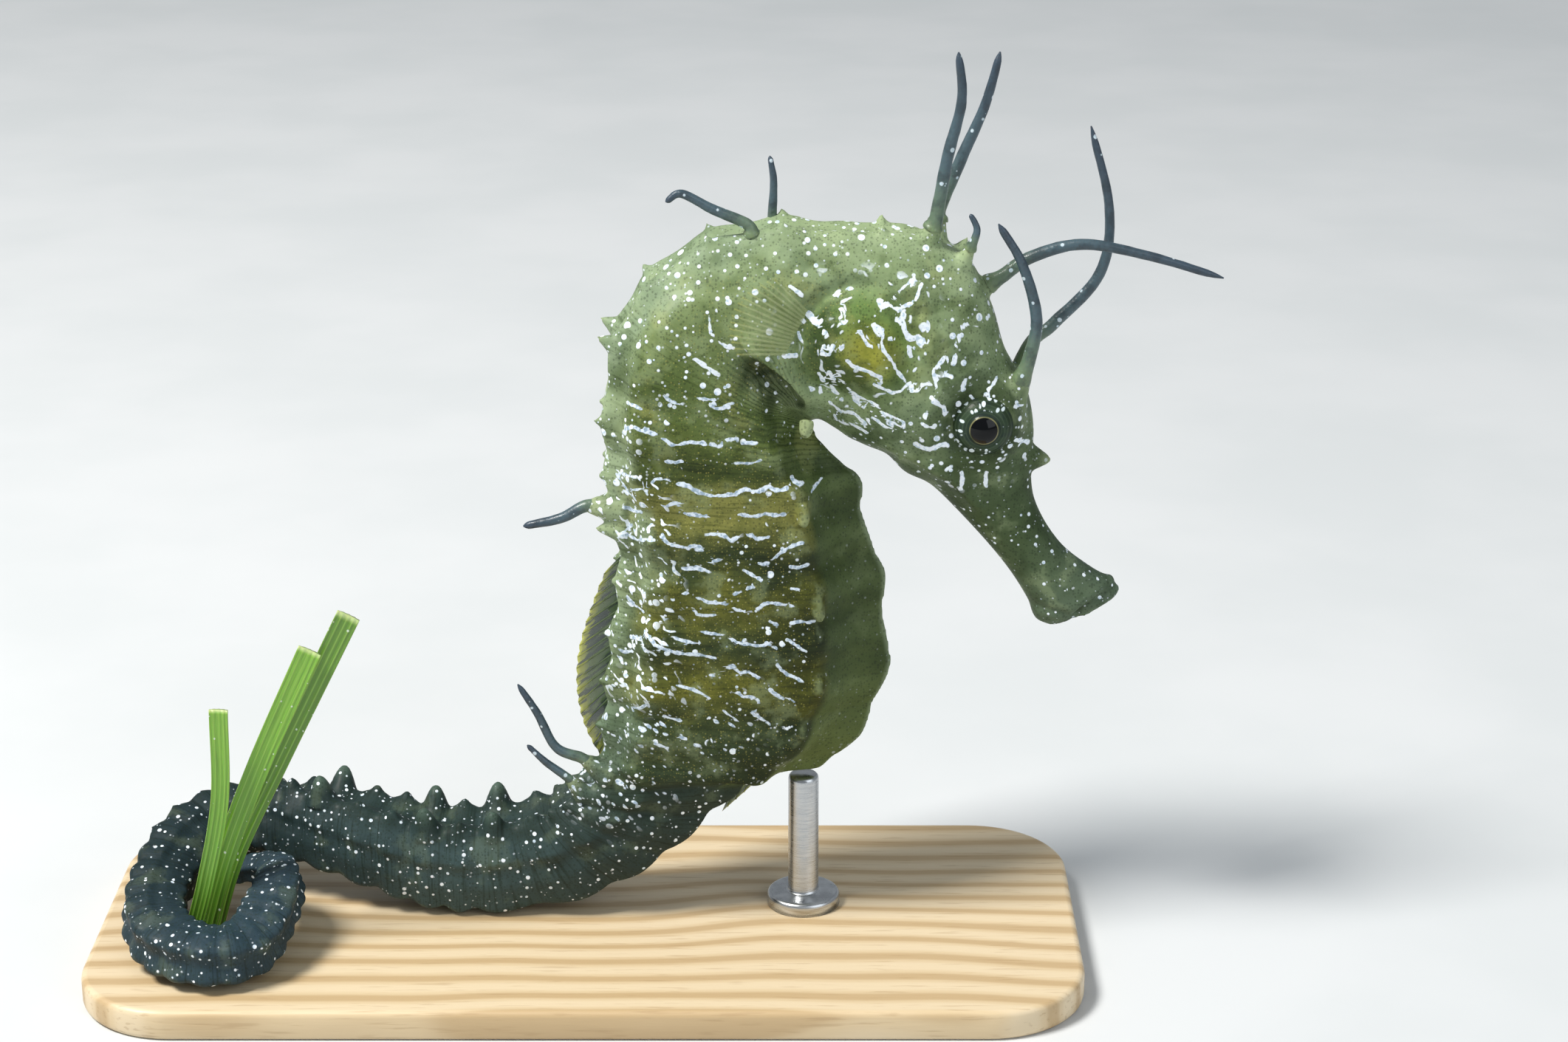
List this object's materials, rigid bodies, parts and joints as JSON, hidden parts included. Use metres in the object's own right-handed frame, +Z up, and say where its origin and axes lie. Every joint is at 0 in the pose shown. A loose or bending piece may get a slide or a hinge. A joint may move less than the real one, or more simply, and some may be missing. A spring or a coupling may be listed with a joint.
{
  "type": "seahorse display model",
  "caption": "Life-size long-snouted seahorse standing upright with its tail looped round cut seagrass blades, held by a flat base and a short rod.",
  "frame": {"origin": "the middle of the underside of the stand's base", "axes": "+X towards the animal's front, the way its belly and snout point; +Y towards its left side; +Z up"},
  "size_m": [0.0901, 0.034, 0.0741],
  "materials": {
    "skin": "wet olive skin with white dots and dashes",
    "tail_skin": "wet slate-dark skin with fine white dots",
    "filament": "thin dark skin filaments",
    "fin": "thin translucent rayed fin",
    "eye": "wet dome with a black pupil and a thin gold rim",
    "leaf": "fresh green ribbon blade with long veins",
    "base_wood": "pale oiled ash",
    "rod_steel": "satin"
  },
  "bodies": {
    "root": {"snout": "skin", "head": "skin", "neck": "skin", "trunk_upper": "skin", "trunk_middle": "skin", "trunk_lower": "skin", "tail_1": "tail_skin", "tail_2": "tail_skin", "tail_3": "tail_skin", "tail_4": "tail_skin", "tail_5": "tail_skin", "tail_6": "tail_skin", "tail_7": "tail_skin", "tail_8": "tail_skin", "tail_9": "tail_skin", "tail_10": "tail_skin", "tail_11": "tail_skin", "eye_right": "eye", "eye_left": "eye", "pectoral_fin_right": "fin", "pectoral_fin_left": "fin", "dorsal_fin": "fin", "anal_fin": "fin", "filament_coronet_right": "filament", "filament_coronet_left": "filament", "filament_coronet_small": "filament", "filament_crown": "filament", "filament_brow_right": "filament", "filament_brow_left": "filament", "filament_neck_right": "filament", "filament_neck_left": "filament", "filament_back": "filament", "filament_tail_base_1": "filament", "filament_tail_base_2": "filament", "perch_leaf_1": "leaf", "perch_leaf_2": "leaf", "perch_leaf_3": "leaf", "stand_base": "base_wood", "stand_rod": "rod_steel"}
  },
  "joints": []
}
